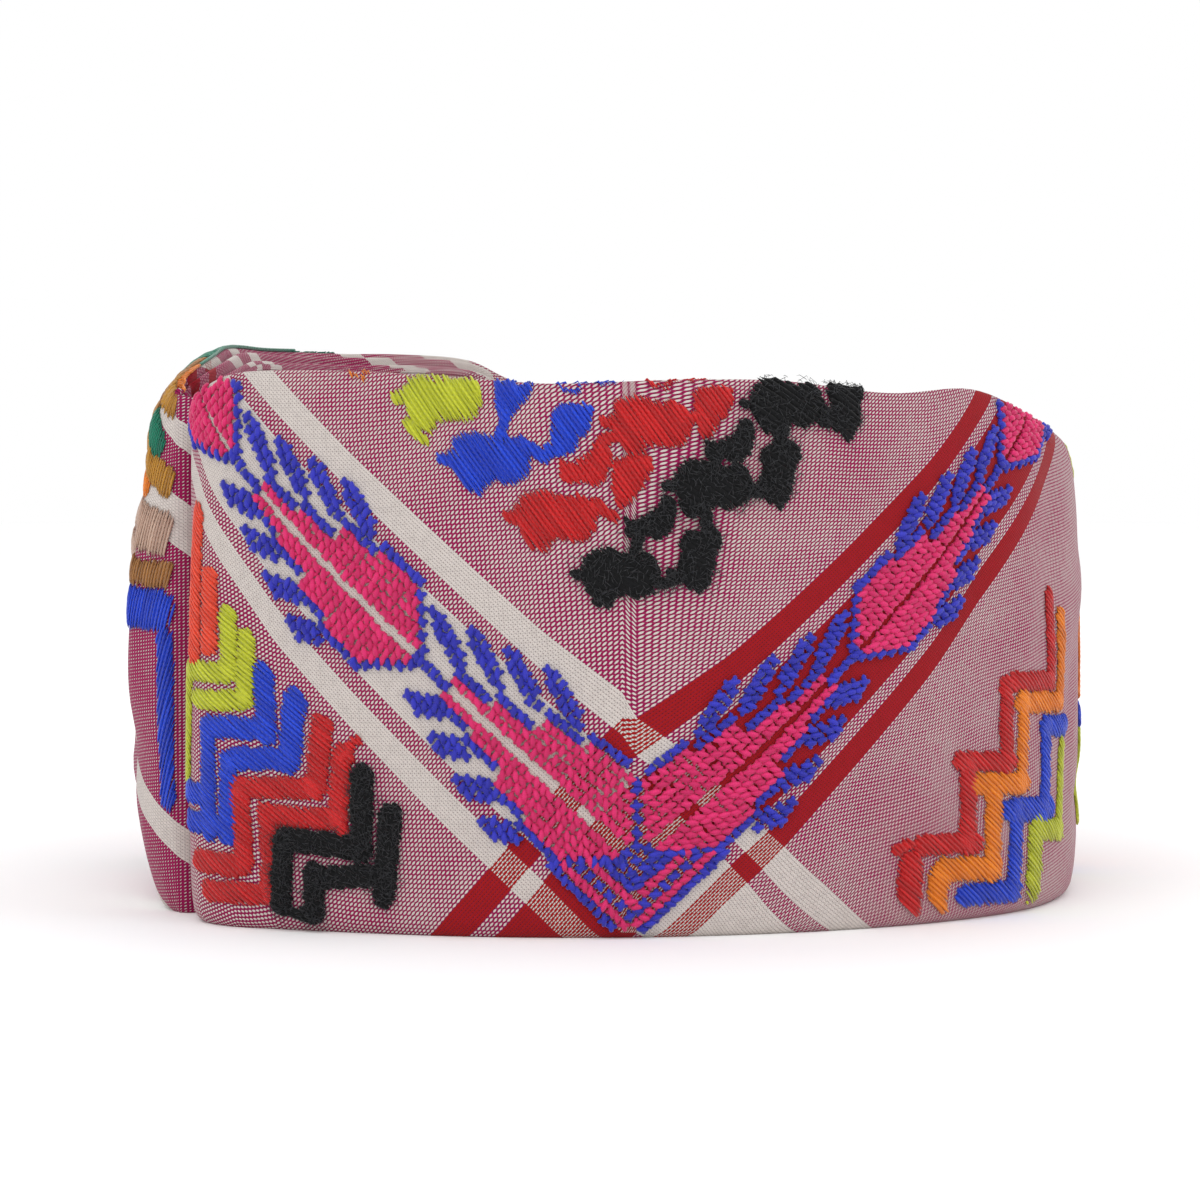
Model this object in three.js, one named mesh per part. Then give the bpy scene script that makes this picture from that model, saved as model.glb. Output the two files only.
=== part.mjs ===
// A square cotton headscarf, folded on the diagonal to a band and wound into a hollow ring that stands on its
// lower fold. Millimetres, +Z up. The middle of the band, with the corner of its border, faces -Y, and the origin
// is the centre of the footprint.
//
// The scarf is one cloth. Each stretch of the wound band that shows is a solid of its own, with the folded layers
// inside it as one body and their edges raised along its top. The front stretch runs from under the back
// stretch's fold, round the front and the right side. The back stretch goes on from there, round the back, and
// swells to a fat roll on the left, where it ends in a fold over the front stretch. The inner turn lines both, as
// a back and a front stretch, and the scarf's loose end laps over the start of it.
import * as THREE from "three";

// Clearance between stretches that lie on each other, and between the two ends of a cut in the band
const LAP_GAP = 0.4;
const JOIN_GAP = 0.3;

// Sections between two rows of a table
const STEPS_PER_ROW = 2;
const INNER_STEPS_PER_ROW = 5;

// Part of a row over which a curve's direction is taken
const TANGENT_STEP = 0.1;

// The outer turn seen from above. x and y lie on its outer face at half height, top is the height of its upper
// fold, thick the depth of all its layers, and roll goes from 0, a flat band, to 1, a fat roll.
const OUTER_TURN = [
  { x: -66.4, y: -38.0, top: 82.0, thick: 2.4, roll: 0 },
  { x: -67.6, y: -48.0, top: 84.4, thick: 3.8, roll: 0 },
  { x: -70.8, y: -57.4, top: 86.8, thick: 5.4, roll: 0 },
  { x: -72.4, y: -66.0, top: 89.4, thick: 6.4, roll: 0 },
  { x: -71.0, y: -74.0, top: 92.4, thick: 7.0, roll: 0 },
  { x: -65.8, y: -79.8, top: 94.6, thick: 7.0, roll: 0 },
  { x: -58.2, y: -83.2, top: 95.4, thick: 7.0, roll: 0 },
  { x: -42.6, y: -88.6, top: 95.2, thick: 7.0, roll: 0 },
  { x: -26.2, y: -93.0, top: 94.2, thick: 7.0, roll: 0 },
  { x: -9.0, y: -95.0, top: 93.0, thick: 7.0, roll: 0 },
  { x: 10.4, y: -94.0, top: 93.6, thick: 7.0, roll: 0 },
  { x: 30.0, y: -89.4, top: 93.6, thick: 7.0, roll: 0 },
  { x: 49.6, y: -81.0, top: 91.6, thick: 7.0, roll: 0 },
  { x: 65.4, y: -69.8, top: 92.4, thick: 7.0, roll: 0.05 },
  { x: 77.6, y: -56.0, top: 88.0, thick: 7.2, roll: 0.1 },
  { x: 85.4, y: -38.6, top: 84.2, thick: 7.6, roll: 0.15 },
  { x: 88.8, y: -18.6, top: 82.6, thick: 8.0, roll: 0.15 },
  { x: 89.2, y: 1.4, top: 83.0, thick: 8.2, roll: 0.15 },
  { x: 87.6, y: 21.0, top: 84.2, thick: 8.4, roll: 0.15 },
  { x: 82.8, y: 40.0, top: 85.8, thick: 8.8, roll: 0.2 },
  { x: 74.4, y: 58.0, top: 87.4, thick: 9.4, roll: 0.25 },
  { x: 61.2, y: 74.2, top: 89.2, thick: 10.2, roll: 0.3 },
  { x: 43.0, y: 86.2, top: 90.8, thick: 11.2, roll: 0.35 },
  { x: 21.0, y: 93.0, top: 92.0, thick: 12.6, roll: 0.45 },
  { x: -2.0, y: 95.0, top: 93.0, thick: 14.0, roll: 0.55 },
  { x: -19.0, y: 93.6, top: 95.6, thick: 15.4, roll: 0.65 },
  { x: -32.6, y: 90.4, top: 100.4, thick: 17.0, roll: 0.8 },
  { x: -48.6, y: 83.2, top: 101.4, thick: 19.0, roll: 0.9 },
  { x: -65.0, y: 70.4, top: 101.2, thick: 21.0, roll: 1 },
  { x: -77.4, y: 53.0, top: 101.2, thick: 22.6, roll: 1 },
  { x: -85.2, y: 31.0, top: 101.0, thick: 24.0, roll: 1 },
  { x: -88.8, y: 7.0, top: 101.0, thick: 24.6, roll: 1 },
  { x: -89.1, y: -16.0, top: 100.4, thick: 24.0, roll: 1 },
  { x: -86.5, y: -36.0, top: 98.4, thick: 20.0, roll: 1 },
  { x: -84.4, y: -52.0, top: 95.4, thick: 14.6, roll: 1 },
  { x: -80.8, y: -58.8, top: 93.6, thick: 11.0, roll: 0.9 },
  { x: -76.6, y: -62.0, top: 92.4, thick: 8.0, roll: 0.7 },
  { x: -73.8, y: -62.2, top: 91.4, thick: 6.0, roll: 0.5 },
];

// The row where the front stretch ends and the back stretch goes on
const JOIN_ROW = 20;

// Across the outer turn, from the edge of its flat underside, up the outer face, over the layers' edges and down
// inside. in is the share of the thickness, up the share of the height, for a flat band and for a fat roll.
const OUTER_SECTION = [
  { bandIn: 0.32, bandUp: 0.0, rollIn: 0.46, rollUp: 0.0 },
  { bandIn: 0.12, bandUp: 0.02, rollIn: 0.33, rollUp: 0.02 },
  { bandIn: 0.03, bandUp: 0.08, rollIn: 0.18, rollUp: 0.09 },
  { bandIn: 0.0, bandUp: 0.18, rollIn: 0.08, rollUp: 0.17 },
  { bandIn: 0.0, bandUp: 0.28, rollIn: 0.02, rollUp: 0.26 },
  { bandIn: 0.0, bandUp: 0.38, rollIn: 0.0, rollUp: 0.36 },
  { bandIn: 0.0, bandUp: 0.48, rollIn: 0.01, rollUp: 0.46 },
  { bandIn: 0.0, bandUp: 0.58, rollIn: 0.03, rollUp: 0.56 },
  { bandIn: 0.0, bandUp: 0.68, rollIn: 0.055, rollUp: 0.66 },
  { bandIn: 0.015, bandUp: 0.77, rollIn: 0.09, rollUp: 0.75 },
  { bandIn: 0.045, bandUp: 0.86, rollIn: 0.15, rollUp: 0.84 },
  { bandIn: 0.1, bandUp: 0.93, rollIn: 0.26, rollUp: 0.91 },
  { bandIn: 0.17, bandUp: 0.967, rollIn: 0.42, rollUp: 0.955 },
  { bandIn: 0.25, bandUp: 0.99, rollIn: 0.58, rollUp: 0.985 },
  { bandIn: 0.34, bandUp: 1.0, rollIn: 0.7, rollUp: 0.998 },
  { bandIn: 0.42, bandUp: 0.99, rollIn: 0.77, rollUp: 1.0 },
  { bandIn: 0.46, bandUp: 0.965, rollIn: 0.805, rollUp: 0.975 },
  { bandIn: 0.52, bandUp: 0.985, rollIn: 0.84, rollUp: 0.992 },
  { bandIn: 0.63, bandUp: 0.99, rollIn: 0.88, rollUp: 0.99 },
  { bandIn: 0.69, bandUp: 0.955, rollIn: 0.91, rollUp: 0.965 },
  { bandIn: 0.77, bandUp: 0.972, rollIn: 0.945, rollUp: 0.978 },
  { bandIn: 0.9, bandUp: 0.968, rollIn: 0.98, rollUp: 0.962 },
  { bandIn: 1.0, bandUp: 0.93, rollIn: 1.0, rollUp: 0.93 },
  { bandIn: 1.0, bandUp: 0.5, rollIn: 1.0, rollUp: 0.5 },
  { bandIn: 1.0, bandUp: 0.06, rollIn: 1.0, rollUp: 0.06 },
  { bandIn: 0.8, bandUp: 0.0, rollIn: 0.84, rollUp: 0.0 },
];

// Points of that section before this one are on the outer face
const TOP_FOLD_POINT = 12;

// Large soft troughs in the outer face. row and up are the middle's place along the turn and its share of the
// height, long and wide how far it reaches each way, climb what it rises by in a row, and depth is in millimetres.
const TROUGHS = [
  { row: 31.2, up: 0.74, long: 3.4, wide: 0.07, climb: 0.025, depth: 2.4 },
  { row: 32.6, up: 0.34, long: 2.6, wide: 0.08, climb: -0.03, depth: 1.8 },
  { row: 27.0, up: 0.55, long: 2.6, wide: 0.08, climb: 0.03, depth: 1.8 },
  { row: 23.6, up: 0.34, long: 2.8, wide: 0.07, climb: -0.02, depth: 1.5 },
  { row: 19.0, up: 0.7, long: 2.4, wide: 0.06, climb: 0.015, depth: 1.3 },
];

// The inner turn, row by row round the ring. angle is in degrees from +X towards +Y. It starts behind the front
// stretch's hidden end, and the scarf's loose end comes round to lie inside that start.
const INNER_TURN = [
  { angle: -153, top: 90.6, thick: 2.2 },
  { angle: -172, top: 92.6, thick: 3.6 },
  { angle: -195, top: 94.6, thick: 5.2 },
  { angle: -225, top: 94.6, thick: 5.6 },
  { angle: -255, top: 91.4, thick: 5.6 },
  { angle: -290, top: 86.0, thick: 5.4 },
  { angle: -325, top: 82.0, thick: 5.2 },
  { angle: -360, top: 79.0, thick: 5.0 },
  { angle: -395, top: 82.6, thick: 4.8 },
  { angle: -430, top: 87.4, thick: 4.6 },
  { angle: -465, top: 88.6, thick: 4.4 },
  { angle: -495, top: 88.0, thick: 4.2 },
  { angle: -520, top: 86.4, thick: 3.8 },
  { angle: -545, top: 83.6, thick: 2.2 },
];

// The rows where its front stretch and its loose end begin, the angle that a cut there takes, and how far to each
// side it evens out its way, in degrees
const INNER_FRONT_ROW = 6;
const LOOSE_ROW = 11;
const CUT_ANGLE = 0.12;
const SIDE_LOOK = 5;

// Sections at its start that the loose end may reach, and a point of its section on the inner face
const START_SECTIONS = 20;
const INNER_FACE_POINT = 12;

const INNER_SECTION = [
  { in: 0.2, up: 0.0 },
  { in: 0.0, up: 0.05 },
  { in: 0.0, up: 0.5 },
  { in: 0.0, up: 0.94 },
  { in: 0.1, up: 0.98 },
  { in: 0.28, up: 0.998 },
  { in: 0.42, up: 0.992 },
  { in: 0.5, up: 0.97 },
  { in: 0.6, up: 0.995 },
  { in: 0.78, up: 1.0 },
  { in: 0.93, up: 0.975 },
  { in: 1.0, up: 0.93 },
  { in: 1.0, up: 0.5 },
  { in: 1.0, up: 0.05 },
  { in: 0.8, up: 0.0 },
];

const cloth = (name, color) => new THREE.MeshStandardMaterial({ name, color, roughness: 0.92, metalness: 0 });
const BORDERED_CLOTH = cloth("bordered_cloth", 0xb87f92);
const ROLLED_CLOTH = cloth("rolled_cloth", 0xa8757f);
const PLAIN_CLOTH = cloth("plain_cloth", 0xc39aa6);

const mix = (from, to, share) => from + (to - from) * share;

// Values of a table's columns at a place between its rows, on a smooth curve through every row
function readTable(rows, columns, place) {
  const row = Math.min(Math.floor(place), rows.length - 2);
  const share = place - row;
  const at = (index, column) => rows[Math.max(0, Math.min(rows.length - 1, index))][column];
  const values = {};
  for (const column of columns) {
    const [before, from, to, after] = [row - 1, row, row + 1, row + 2].map((index) => at(index, column));
    const leave = (to - before) / 2;
    const arrive = (after - from) / 2;
    const cubic = 2 * from - 2 * to + leave + arrive;
    const square = -3 * from + 3 * to - 2 * leave - arrive;
    values[column] = ((cubic * share + square) * share + leave) * share + from;
  }
  return values;
}

// Stations from one row of the outer turn to another: the point on the outer face, the way inwards and the band's
// sizes there. trimStart and trimEnd shorten the stretch at a cut.
function layOuterTurn(fromRow, toRow, trimStart, trimEnd) {
  const count = (toRow - fromRow) * STEPS_PER_ROW;
  const stations = [];
  for (let index = 0; index <= count; index += 1) {
    const place = fromRow + index / STEPS_PER_ROW;
    const here = readTable(OUTER_TURN, ["x", "y", "top", "thick", "roll"], place);
    const back = readTable(OUTER_TURN, ["x", "y"], Math.max(0, place - TANGENT_STEP));
    const on = readTable(OUTER_TURN, ["x", "y"], Math.min(OUTER_TURN.length - 1, place + TANGENT_STEP));
    const along = new THREE.Vector2(on.x - back.x, on.y - back.y).normalize();
    const point = new THREE.Vector2(here.x, here.y);
    if (index === 0) point.addScaledVector(along, trimStart);
    if (index === count) point.addScaledVector(along, -trimEnd);
    stations.push({ ...here, place, point, inward: new THREE.Vector2(-along.y, along.x) });
  }
  return stations;
}

// How far the troughs pull the outer face in at a row and a share of the height
function troughDepth(row, up) {
  let depth = 0;
  for (const trough of TROUGHS) {
    const along = (row - trough.row) / trough.long;
    const across = (up - trough.up - trough.climb * (row - trough.row)) / trough.wide;
    depth += trough.depth * Math.exp(-along * along - across * across);
  }
  return depth;
}

// The points of one section of the outer turn
function outerSection({ point, inward, place, top, thick, roll }) {
  return OUTER_SECTION.map(({ bandIn, bandUp, rollIn, rollUp }, index) => {
    const up = mix(bandUp, rollUp, roll);
    const trough = index < TOP_FOLD_POINT ? troughDepth(place, up) : 0;
    const spot = point.clone().addScaledVector(inward, mix(bandIn, rollIn, roll) * thick + trough);
    return new THREE.Vector3(spot.x, spot.y, up * top);
  });
}

// A closed solid through sections that follow each other anticlockwise round the ring, with its two ends capped
function loft(sections) {
  const size = sections[0].length;
  const positions = sections.flat().flatMap((spot) => spot.toArray());
  const faces = [];
  for (let row = 0; row + 1 < sections.length; row += 1) {
    for (let column = 0; column < size; column += 1) {
      const next = (column + 1) % size;
      const [a, b] = [row * size + column, row * size + next];
      faces.push([a, b + size, b], [a, a + size, b + size]);
    }
  }
  for (const row of [0, sections.length - 1]) {
    const middle = positions.length / 3;
    positions.push(...new THREE.Box3().setFromPoints(sections[row]).getCenter(new THREE.Vector3()).toArray());
    for (let column = 0; column < size; column += 1) {
      const [a, b] = [row * size + column, row * size + (column + 1) % size];
      faces.push(row === 0 ? [a, b, middle] : [b, a, middle]);
    }
  }
  const geometry = new THREE.BufferGeometry();
  geometry.setAttribute("position", new THREE.Float32BufferAttribute(positions, 3));
  geometry.setIndex(faces.flat());
  geometry.computeVertexNormals();
  return geometry;
}

// Distance from the ring's centre to the nearest of the inner faces in one direction
function reachInside(faces, angle) {
  const way = new THREE.Vector2(Math.cos(angle), Math.sin(angle));
  let reach = Infinity;
  for (const face of faces) {
    for (let index = 0; index + 1 < face.length; index += 1) {
      const [from, to] = [face[index], face[index + 1]];
      const side = new THREE.Vector2().subVectors(to, from);
      const cross = way.cross(side);
      const distance = from.cross(side) / cross;
      const share = from.cross(way) / cross;
      if (share >= 0 && share <= 1 && distance > 0) reach = Math.min(reach, distance);
    }
  }
  return reach;
}

// A smooth distance to lie at, nowhere beyond the nearest face: the mean of what is nearest around the angle
function smoothReach(faces, angle) {
  const sides = [-1, -0.5, 0, 0.5, 1].map((share) => share * SIDE_LOOK);
  const nearest = sides.map((side) => Math.min(...sides.map((further) => (
    reachInside(faces, THREE.MathUtils.degToRad(angle + side + further))
  ))));
  return nearest.reduce((sum, reach) => sum + reach, 0) / nearest.length - LAP_GAP;
}

// Sections of the inner turn from one row to another, laid against the faces round it. trimStart and trimEnd, in
// degrees, shorten it at a cut.
function layInnerTurn(faces, fromRow, toRow, trimStart, trimEnd) {
  const count = (toRow - fromRow) * INNER_STEPS_PER_ROW;
  const sections = [];
  for (let index = 0; index <= count; index += 1) {
    const row = readTable(INNER_TURN, ["angle", "top", "thick"], fromRow + index / INNER_STEPS_PER_ROW);
    const angle = row.angle - (index === 0 ? trimStart : 0) + (index === count ? trimEnd : 0);
    const reach = smoothReach(faces, angle);
    const way = new THREE.Vector2(1, 0).rotateAround(new THREE.Vector2(), THREE.MathUtils.degToRad(angle));
    sections.push(INNER_SECTION.map((spot) => {
      const { x, y } = way.clone().multiplyScalar(reach - spot.in * row.thick);
      return new THREE.Vector3(x, y, spot.up * row.top);
    }));
  }
  return sections.reverse();
}

const innerFace = (stations) => stations.map(({ point, inward, thick }) => (
  point.clone().addScaledVector(inward, thick)
));

// The inner face of the start of the inner turn, which the loose end lies on. Sections run anticlockwise, so the
// start is the last of them.
const startFace = (sections) => sections.slice(-START_SECTIONS).map((section) => (
  new THREE.Vector2(section[INNER_FACE_POINT].x, section[INNER_FACE_POINT].y)
));

function stretch(name, sections, material) {
  const mesh = new THREE.Mesh(loft(sections), material);
  mesh.name = name;
  return mesh;
}

const frontStations = layOuterTurn(0, JOIN_ROW, 0, JOIN_GAP / 2);
const backStations = layOuterTurn(JOIN_ROW, OUTER_TURN.length - 1, JOIN_GAP / 2, 0);

const outerFaces = [innerFace(frontStations), innerFace(backStations)];
const innerBack = layInnerTurn(outerFaces, 0, INNER_FRONT_ROW, 0, CUT_ANGLE);
const innerFront = layInnerTurn(outerFaces, INNER_FRONT_ROW, LOOSE_ROW, CUT_ANGLE, CUT_ANGLE);
const looseEnd = layInnerTurn([...outerFaces, startFace(innerBack)], LOOSE_ROW, INNER_TURN.length - 1, CUT_ANGLE, 0);

const scarf = new THREE.Group();
scarf.name = "wound_headscarf";
scarf.add(stretch("front_stretch", frontStations.map(outerSection), BORDERED_CLOTH));
scarf.add(stretch("back_stretch", backStations.map(outerSection), ROLLED_CLOTH));
scarf.add(stretch("inner_back", innerBack, PLAIN_CLOTH));
scarf.add(stretch("inner_front", innerFront, PLAIN_CLOTH));
scarf.add(stretch("loose_end", looseEnd, PLAIN_CLOTH));

export default scarf;
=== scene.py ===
import math

import bmesh
import bpy
import numpy as np
from mathutils import Matrix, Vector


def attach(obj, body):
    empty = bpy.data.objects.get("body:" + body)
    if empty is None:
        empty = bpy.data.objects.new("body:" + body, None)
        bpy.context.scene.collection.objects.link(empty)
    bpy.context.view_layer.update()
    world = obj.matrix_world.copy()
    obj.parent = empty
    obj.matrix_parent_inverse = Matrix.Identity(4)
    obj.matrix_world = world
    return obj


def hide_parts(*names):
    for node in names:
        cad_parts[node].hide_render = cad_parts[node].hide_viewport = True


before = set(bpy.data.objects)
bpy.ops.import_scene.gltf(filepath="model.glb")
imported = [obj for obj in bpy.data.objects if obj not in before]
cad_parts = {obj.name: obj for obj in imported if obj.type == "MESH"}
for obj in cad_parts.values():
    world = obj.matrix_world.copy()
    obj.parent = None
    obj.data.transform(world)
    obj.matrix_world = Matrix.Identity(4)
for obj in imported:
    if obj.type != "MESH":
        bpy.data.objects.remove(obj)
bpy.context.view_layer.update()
MM = 0.001

# The outer turn of the scarf. A square of yarn-dyed cotton is folded on its diagonal to a band of eight
# layers and wound on itself, and its left end is rolled fat and folded over the start. This is the layer that
# shows, one tube of cloth from the end hidden in the fold, round the front, right and back, to the roll.
OUTER_TURN = np.array((
    # x and y of the outer face at half height, height of the upper fold, depth of the layers, share of roll
    (-66.4, -38.0, 82.0, 2.4, 0.0),
    (-67.6, -48.0, 84.4, 3.8, 0.0),
    (-70.8, -57.4, 86.8, 5.4, 0.0),
    (-72.4, -66.0, 89.4, 6.4, 0.0),
    (-71.0, -74.0, 92.4, 7.0, 0.0),
    (-65.8, -79.8, 94.6, 7.0, 0.0),
    (-58.2, -83.2, 95.4, 7.0, 0.0),
    (-42.6, -88.6, 95.2, 7.0, 0.0),
    (-26.2, -93.0, 94.2, 7.0, 0.0),
    (-9.0, -95.0, 93.0, 7.0, 0.0),
    (10.4, -94.0, 93.6, 7.0, 0.0),
    (30.0, -89.4, 93.6, 7.0, 0.0),
    (49.6, -81.0, 91.6, 7.0, 0.0),
    (65.4, -69.8, 92.4, 7.0, 0.05),
    (77.6, -56.0, 88.0, 7.2, 0.1),
    (85.4, -38.6, 84.2, 7.6, 0.15),
    (88.8, -18.6, 82.6, 8.0, 0.15),
    (89.2, 1.4, 83.0, 8.2, 0.15),
    (87.6, 21.0, 84.2, 8.4, 0.15),
    (82.8, 40.0, 85.8, 8.8, 0.2),
    (74.4, 58.0, 87.4, 9.4, 0.25),
    (61.2, 74.2, 89.2, 10.2, 0.3),
    (43.0, 86.2, 90.8, 11.2, 0.35),
    (21.0, 93.0, 92.0, 12.6, 0.45),
    (-2.0, 95.0, 93.0, 14.0, 0.55),
    (-19.0, 93.6, 95.6, 15.4, 0.65),
    (-32.6, 90.4, 100.4, 17.0, 0.8),
    (-48.6, 83.2, 101.4, 19.0, 0.9),
    (-65.0, 70.4, 101.2, 21.0, 1.0),
    (-77.4, 53.0, 101.2, 22.6, 1.0),
    (-85.2, 31.0, 101.0, 24.0, 1.0),
    (-88.8, 7.0, 101.0, 24.6, 1.0),
    (-89.1, -16.0, 100.4, 24.0, 1.0),
    (-86.5, -36.0, 98.4, 20.0, 1.0),
    (-84.4, -52.0, 95.4, 14.6, 1.0),
    (-80.8, -58.8, 93.6, 11.0, 0.9),
    (-76.6, -62.0, 92.4, 8.0, 0.7),
    (-73.8, -62.2, 91.4, 6.0, 0.5),
))
SECTION = np.array((
    # share of the depth and of the height on a flat band, then on the fat roll, from underneath up and over
    (0.32, 0.0, 0.46, 0.0), (0.12, 0.02, 0.33, 0.02), (0.03, 0.08, 0.18, 0.09), (0.0, 0.18, 0.08, 0.17),
    (0.0, 0.28, 0.02, 0.26), (0.0, 0.38, 0.0, 0.36), (0.0, 0.48, 0.01, 0.46), (0.0, 0.58, 0.03, 0.56),
    (0.0, 0.68, 0.055, 0.66), (0.015, 0.77, 0.09, 0.75), (0.045, 0.86, 0.15, 0.84), (0.1, 0.93, 0.26, 0.91),
    (0.17, 0.967, 0.42, 0.955), (0.25, 0.99, 0.58, 0.985), (0.34, 1.0, 0.7, 0.998), (0.42, 0.99, 0.77, 1.0),
    (0.46, 0.965, 0.805, 0.975), (0.52, 0.985, 0.84, 0.992), (0.63, 0.99, 0.88, 0.99),
    (0.69, 0.955, 0.91, 0.965), (0.77, 0.972, 0.945, 0.978), (0.9, 0.968, 0.98, 0.962),
    (1.0, 0.93, 1.0, 0.93), (1.0, 0.5, 1.0, 0.5), (1.0, 0.06, 1.0, 0.06), (0.8, 0.0, 0.84, 0.0),
    (0.32, 0.0, 0.46, 0.0),
))
# The section's points at half height and where the upper fold starts
MID_POINT = 6
TOP_POINT = 12
# Steps of the smooth curves from one row, and from one point of the section, to the next
STATION_STEPS = 8
SECTION_STEPS = 4
# The corner of the woven border lies here, on the rows that pass along the front
FRONT_ROWS = (4, 14)
BORDER_CORNER_X = 5.45
CLOTH_THICKNESS = 0.6

# Troughs that the solid has too: row and share of the height, reach along and up, climb in a row, depth
TROUGHS = (
    (31.2, 0.74, 3.4, 0.07, 0.025, 2.4),
    (32.6, 0.34, 2.6, 0.08, -0.03, 1.8),
    (27.0, 0.55, 2.6, 0.08, 0.03, 1.8),
    (23.6, 0.34, 2.8, 0.07, -0.02, 1.5),
    (19.0, 0.7, 2.4, 0.06, 0.015, 1.3),
)

# Soft creases, below 0, and ridges, above 0: place along and up the band, slope in degrees, length, width and
# height. They fade out near the floor.
CREASES = (
    (-84, 70, 74, 30, 5.0, -0.9), (-77, 40, 82, 34, 4.0, 0.5), (-66, 16, 12, 22, 5.0, -0.5),
    (-46, 84, -38, 16, 3.6, 0.4), (-30, 12, 8, 24, 4.6, -0.4), (-14, 46, -44, 26, 4.0, -0.3),
    (16, 50, 46, 24, 4.0, -0.35), (34, 12, 20, 26, 5.0, 0.45), (44, 72, 58, 24, 4.2, -0.5),
    (56, 30, 66, 30, 5.0, 0.6), (66, 62, 70, 28, 4.6, -0.8), (76, 36, 78, 34, 5.4, 0.7),
    (88, 66, 84, 26, 4.8, -0.7), (101, 30, 72, 30, 5.5, -0.9), (118, 56, 18, 34, 4.6, 0.8),
    (128, 20, 10, 38, 4.0, -0.9), (146, 68, -14, 30, 4.4, -0.8), (160, 38, 24, 42, 5.0, 0.8),
    (176, 62, 12, 28, 3.8, -0.7), (190, 22, -18, 34, 4.6, -1.0), (208, 70, 8, 40, 4.2, 0.7),
    (226, 44, -22, 36, 4.4, -1.1), (242, 16, 14, 30, 4.6, 0.7), (258, 66, 20, 34, 4.4, -1.0),
    (276, 36, 10, 44, 5.2, 0.9), (294, 74, -10, 30, 4.0, -1.0), (306, 22, 26, 36, 5.0, -1.1),
    (322, 54, 6, 40, 4.6, 0.9), (336, 82, 16, 34, 4.0, -1.3), (350, 34, -12, 44, 5.0, -1.4),
    (366, 64, 14, 46, 5.0, 1.2), (384, 20, 22, 38, 4.6, -1.3), (396, 86, 6, 42, 4.2, -1.6),
    (412, 48, 18, 48, 5.0, -1.6), (428, 72, -8, 44, 5.2, 1.5), (440, 24, -14, 40, 4.6, -1.5),
    (454, 90, 10, 36, 4.0, -1.8), (462, 54, 26, 40, 4.4, -1.7), (476, 34, 64, 26, 4.0, 1.1),
    (484, 72, 76, 28, 3.6, -1.4), (492, 50, 80, 34, 3.4, 0.9),
)
CREASE_FADE = 12


def smooth_rows(rows, places):
    """Values between a table's rows, on a smooth curve through every row."""
    last = len(rows) - 1
    row = np.clip(np.floor(places).astype(int), 0, last - 1)
    share = (places - row)[:, None]
    before, start = rows[np.clip(row - 1, 0, last)], rows[row]
    end, after = rows[row + 1], rows[np.clip(row + 2, 0, last)]
    leave, arrive = (end - before) / 2, (after - start) / 2
    cubic = 2 * start - 2 * end + leave + arrive
    square = 3 * end - 3 * start - 2 * leave - arrive
    return cubic * share**3 + square * share**2 + leave * share + start


def face_normals(points):
    """Outward normals of a grid of points, from its own directions along and up."""
    along = np.gradient(points, axis=0)
    up = np.gradient(points, axis=1)
    normals = np.cross(along, up)
    return normals / np.linalg.norm(normals, axis=2, keepdims=True)


last_row = len(OUTER_TURN) - 1
places = np.linspace(0, last_row, last_row * STATION_STEPS + 1)
stations = smooth_rows(OUTER_TURN, places)
plan = stations[:, :2]
nudge = 0.1
forward = smooth_rows(OUTER_TURN, np.minimum(places + nudge, last_row))[:, :2]
backward = smooth_rows(OUTER_TURN, np.maximum(places - nudge, 0))[:, :2]
course = forward - backward
course /= np.linalg.norm(course, axis=1, keepdims=True)
inward = np.stack((-course[:, 1], course[:, 0]), axis=1)
length = np.concatenate(([0], np.cumsum(np.linalg.norm(np.diff(plan, axis=0), axis=1))))
on_front = (places > FRONT_ROWS[0]) & (places < FRONT_ROWS[1])
along_band = length - np.interp(BORDER_CORNER_X, plan[on_front, 0], length[on_front])

last_point = len(SECTION) - 1
section = smooth_rows(SECTION, np.linspace(0, last_point, last_point * SECTION_STEPS + 1))
tops, depths, rolls = (stations[:, column, None] for column in (2, 3, 4))
height_share = section[:, 1] + (section[:, 3] - section[:, 1]) * rolls
insets = (section[:, 0] + (section[:, 2] - section[:, 0]) * rolls) * depths
heights = np.maximum(height_share * tops, 0)
arc = np.cumsum(np.hypot(np.diff(insets, axis=1), np.diff(heights, axis=1)), axis=1)
arc = np.concatenate((np.zeros((len(stations), 1)), arc), axis=1)
middle = MID_POINT * SECTION_STEPS
up_band = arc - arc[:, middle, None] + heights[:, middle, None]

outer_face = np.arange(section.shape[0]) < TOP_POINT * SECTION_STEPS
for row, up, long, wide, climb, depth in TROUGHS:
    from_row = (places - row)[:, None]
    across = (height_share - up - climb * from_row) / wide
    insets = insets + outer_face * depth * np.exp(-(from_row / long) ** 2 - across**2)
flat_points = plan[:, None] + inward[:, None] * insets[:, :, None]
band_points = np.concatenate((flat_points, heights[:, :, None]), axis=2)

relief = np.zeros(heights.shape)
for u, v, slope, long, wide, height in CREASES:
    turn = math.radians(slope)
    du, dv = along_band[:, None] - u, up_band - v
    far = (du * math.cos(turn) + dv * math.sin(turn)) / long
    near = (dv * math.cos(turn) - du * math.sin(turn)) / wide
    relief += height * np.exp(-(far**2) * 2 - near**2)
# Nothing is pushed below the floor, over the upper fold or into the layers inside
relief *= outer_face * np.clip(heights / CREASE_FADE, 0, 1)
band_points += face_normals(band_points) * relief[:, :, None]
band_normals = face_normals(band_points)

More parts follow.
